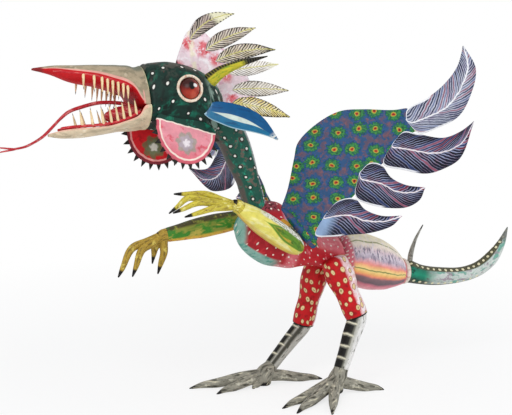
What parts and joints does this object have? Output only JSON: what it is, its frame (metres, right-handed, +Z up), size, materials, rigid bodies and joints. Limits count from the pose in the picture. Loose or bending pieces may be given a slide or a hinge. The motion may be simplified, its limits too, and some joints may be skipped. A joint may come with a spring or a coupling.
{
  "type": "alebrije bird figure",
  "caption": "Painted papier-mache fantasy bird standing on two clawed feet, with open toothed beak, crest, horns, two arms, raised feathered wings and a curved tail.",
  "frame": {"origin": "middle of the bounding box, on the ground under the feet", "axes": "+X runs from the beak to the tail, +Y to the bird's right side, +Z up; the bird looks towards -X"},
  "size_m": [0.6868, 0.4544, 0.4595],
  "materials": {
    "torso_paint": "satin",
    "abdomen_paint": "satin",
    "collar_paint": "satin",
    "tail_paint": "satin",
    "spine_paint": "satin",
    "neck_paint": "satin",
    "head_paint": "satin",
    "beak_paint": "satin",
    "tooth_paint": "satin",
    "tongue_paint": "satin",
    "eye_paint": "gloss",
    "eye_rim_paint": "satin",
    "horn_paint": "satin",
    "ear_paint": "satin",
    "left_wattle_paint": "satin",
    "right_wattle_paint": "satin",
    "crest_paint": "satin",
    "wing_paint": "satin",
    "feather_paint": "satin",
    "shoulder_paint": "satin",
    "arm_paint": "satin",
    "thigh_paint": "satin",
    "shank_paint": "satin",
    "foot_paint": "satin",
    "armature_wire": "satin"
  },
  "bodies": {
    "root": {"crest": "crest_paint", "head": "head_paint", "upper_beak": "beak_paint", "lower_beak": "beak_paint", "tongue": "tongue_paint", "upper_teeth_left": "tooth_paint", "lower_teeth_left": "tooth_paint", "left_eye": "eye_paint", "left_eye_rim": "eye_rim_paint", "left_horn": "horn_paint", "left_ear": "ear_paint", "left_wattle": "left_wattle_paint", "upper_teeth_right": "tooth_paint", "lower_teeth_right": "tooth_paint", "right_eye": "eye_paint", "right_eye_rim": "eye_rim_paint", "right_horn": "horn_paint", "right_ear": "ear_paint", "right_wattle": "right_wattle_paint", "left_wing_panel": "wing_paint", "left_wing_wire": "armature_wire", "left_wing_feather_1": "feather_paint", "left_wing_feather_2": "feather_paint", "left_wing_feather_3": "feather_paint", "left_wing_feather_4": "feather_paint", "right_wing_panel": "wing_paint", "right_wing_wire": "armature_wire", "right_wing_feather_1": "feather_paint", "right_wing_feather_2": "feather_paint", "right_wing_feather_3": "feather_paint", "right_wing_feather_4": "feather_paint", "torso": "torso_paint", "abdomen": "abdomen_paint", "tail_collar": "collar_paint", "tail": "tail_paint", "neck": "neck_paint", "neck_wire": "armature_wire", "tail_wire": "armature_wire", "rump_spine": "spine_paint", "left_upper_arm": "shoulder_paint", "left_forearm": "arm_paint", "left_hand": "arm_paint", "left_arm_wire": "armature_wire", "left_thigh": "thigh_paint", "left_shank": "shank_paint", "left_foot": "foot_paint", "left_leg_wire": "armature_wire", "right_upper_arm": "shoulder_paint", "right_forearm": "arm_paint", "right_hand": "arm_paint", "right_arm_wire": "armature_wire", "right_thigh": "thigh_paint", "right_shank": "shank_paint", "right_foot": "foot_paint", "right_leg_wire": "armature_wire"}
  },
  "joints": []
}
